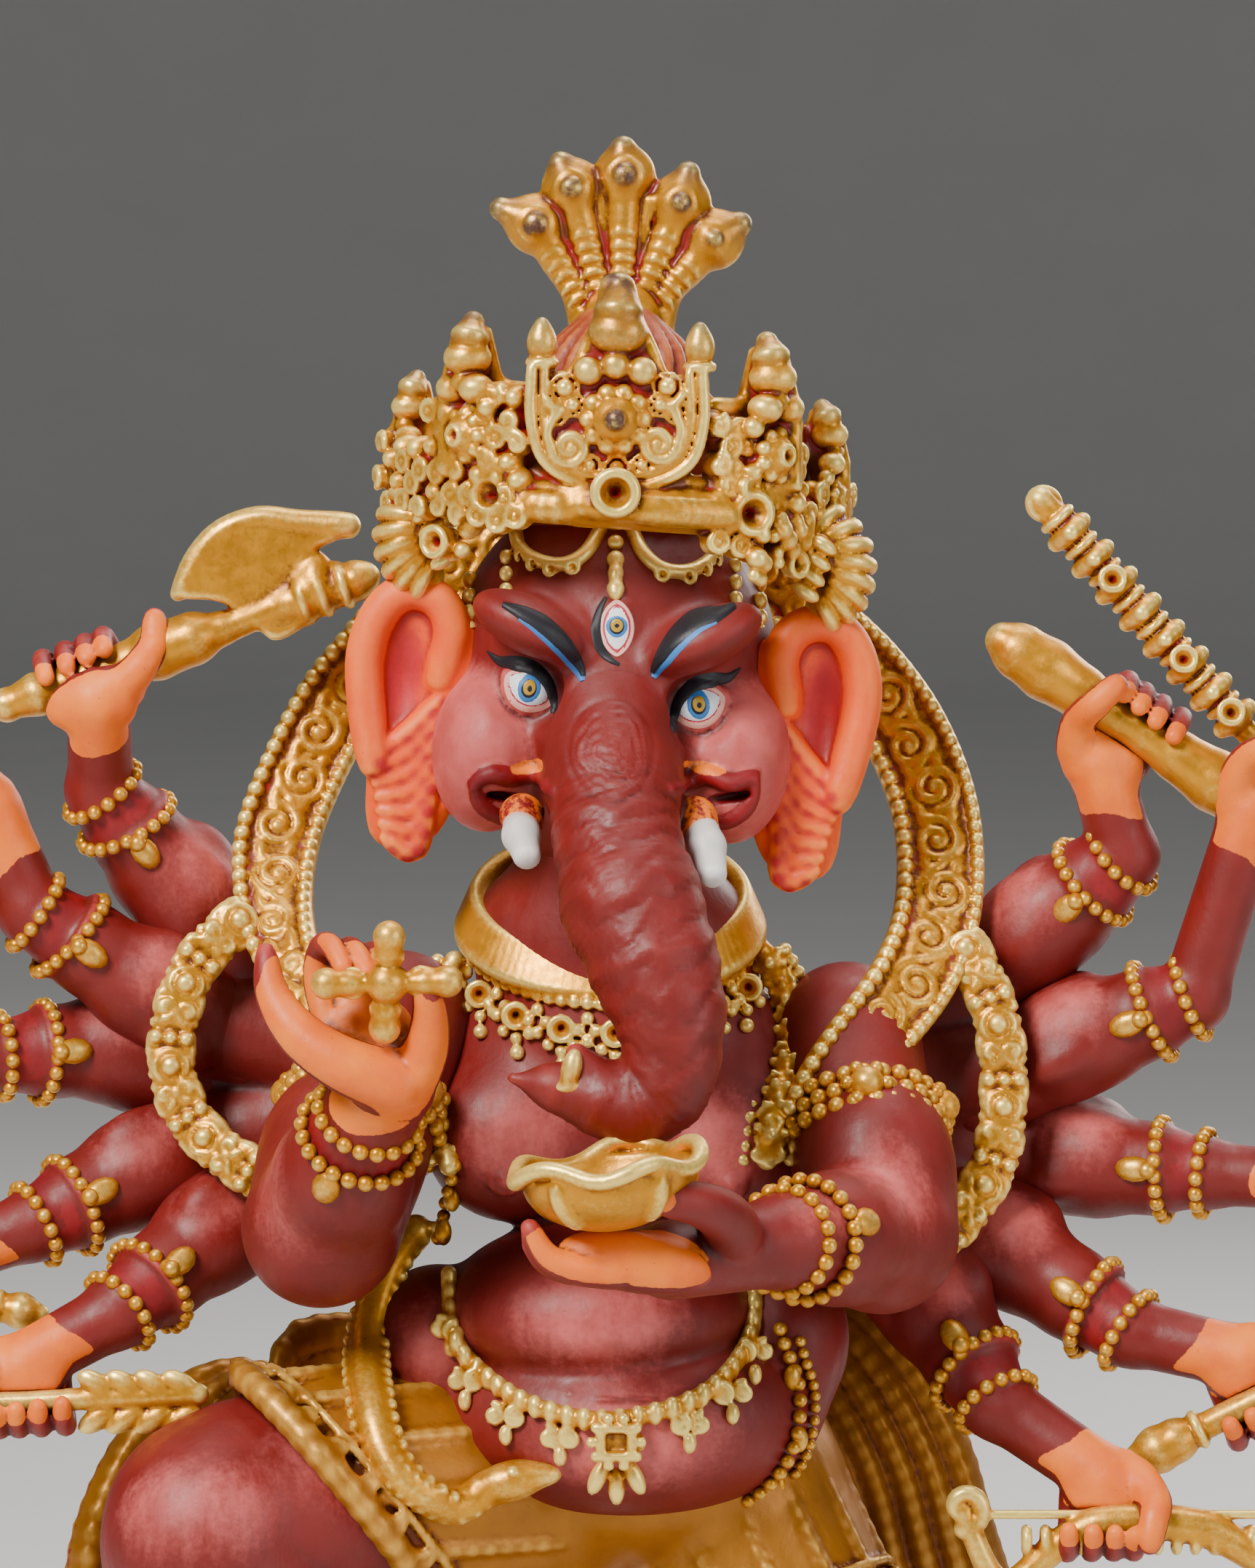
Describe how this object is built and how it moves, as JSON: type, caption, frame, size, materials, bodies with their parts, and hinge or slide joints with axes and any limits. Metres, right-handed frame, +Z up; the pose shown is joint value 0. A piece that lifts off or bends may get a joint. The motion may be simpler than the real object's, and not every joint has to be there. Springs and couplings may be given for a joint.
{
  "type": "ganesha idol",
  "caption": "Painted cast idol: a dancing elephant-headed figure with many arms holding implements, on a round lotus throne",
  "frame": {"origin": "centre of the flat underside of the lotus throne", "axes": "+Z up; the idol faces -Y; +X is the idol's own left side"},
  "size_m": [0.1585, 0.0792, 0.21],
  "materials": {
    "skin_paint": "cast resin with matte deep red paint, dusty pink on the high spots and orange palms",
    "ear_paint": "cast resin with matte orange paint, crimson in the hollows",
    "ivory_paint": "cast resin with matte off-white paint",
    "hair_paint": "cast resin with matte red-brown paint",
    "fur_paint": "cast resin with matte grey-brown paint",
    "gold_paint": "satin gold paint over cast resin, red paint showing in the hollows",
    "cloth_paint": "cast resin drapery with satin gold paint and red edges",
    "bowl_paint": "satin gold paint over cast resin",
    "throne_paint": "cast resin with satin gold paint and red lower petals",
    "pin_steel": "plain drawn steel pins",
    "plate_plastic": "moulded plastic plate"
  },
  "bodies": {
    "idol": {"anklets": "gold_paint", "arm_arrow": "skin_paint", "arm_axe": "skin_paint", "arm_banner_lance": "skin_paint", "arm_bow": "skin_paint", "arm_fan_left": "skin_paint", "arm_fan_right": "skin_paint", "arm_goad": "skin_paint", "arm_offering_cup": "skin_paint", "arm_pestle": "skin_paint", "arm_skull_cup": "skin_paint", "arm_skull_staff": "skin_paint", "arm_spear": "skin_paint", "arm_sword": "skin_paint", "arm_vajra": "skin_paint", "arrow": "gold_paint", "axe": "gold_paint", "back_sash": "cloth_paint", "banner_lance": "gold_paint", "belly_chain": "gold_paint", "bow": "gold_paint", "bracelets": "gold_paint", "collar": "gold_paint", "crown_band": "gold_paint", "crown_leaf_front": "gold_paint", "crown_leaves_diagonal": "gold_paint", "crown_leaves_side": "gold_paint", "dhoti": "cloth_paint", "drape_left": "cloth_paint", "drape_right": "cloth_paint", "ear_left": "ear_paint", "ear_right": "ear_paint", "ear_rosettes": "gold_paint", "garlands": "gold_paint", "goad": "gold_paint", "hair_knot": "hair_paint", "head": "skin_paint", "leg_left": "skin_paint", "leg_right": "skin_paint", "mouse": "fur_paint", "necklace": "gold_paint", "offering_cup": "gold_paint", "pestle": "gold_paint", "scarf_arch": "gold_paint", "scarf_left": "gold_paint", "scarf_right": "gold_paint", "shoulder_arcs": "gold_paint", "skull_cup": "bowl_paint", "skull_staff": "gold_paint", "snake_belt": "gold_paint", "snake_hood": "gold_paint", "spear": "gold_paint", "steel_pins": "pin_steel", "sword": "gold_paint", "throne": "throne_paint", "torso": "skin_paint", "tusks": "ivory_paint", "vajra": "gold_paint"},
    "plate": {"closing_plate": "plate_plastic"}
  },
  "joints": [
    {"name": "plate_slide", "type": "slide", "parent": "idol", "child": "plate", "axis": [0, 0, -1], "range_m": [0, 0.006]}
  ]
}
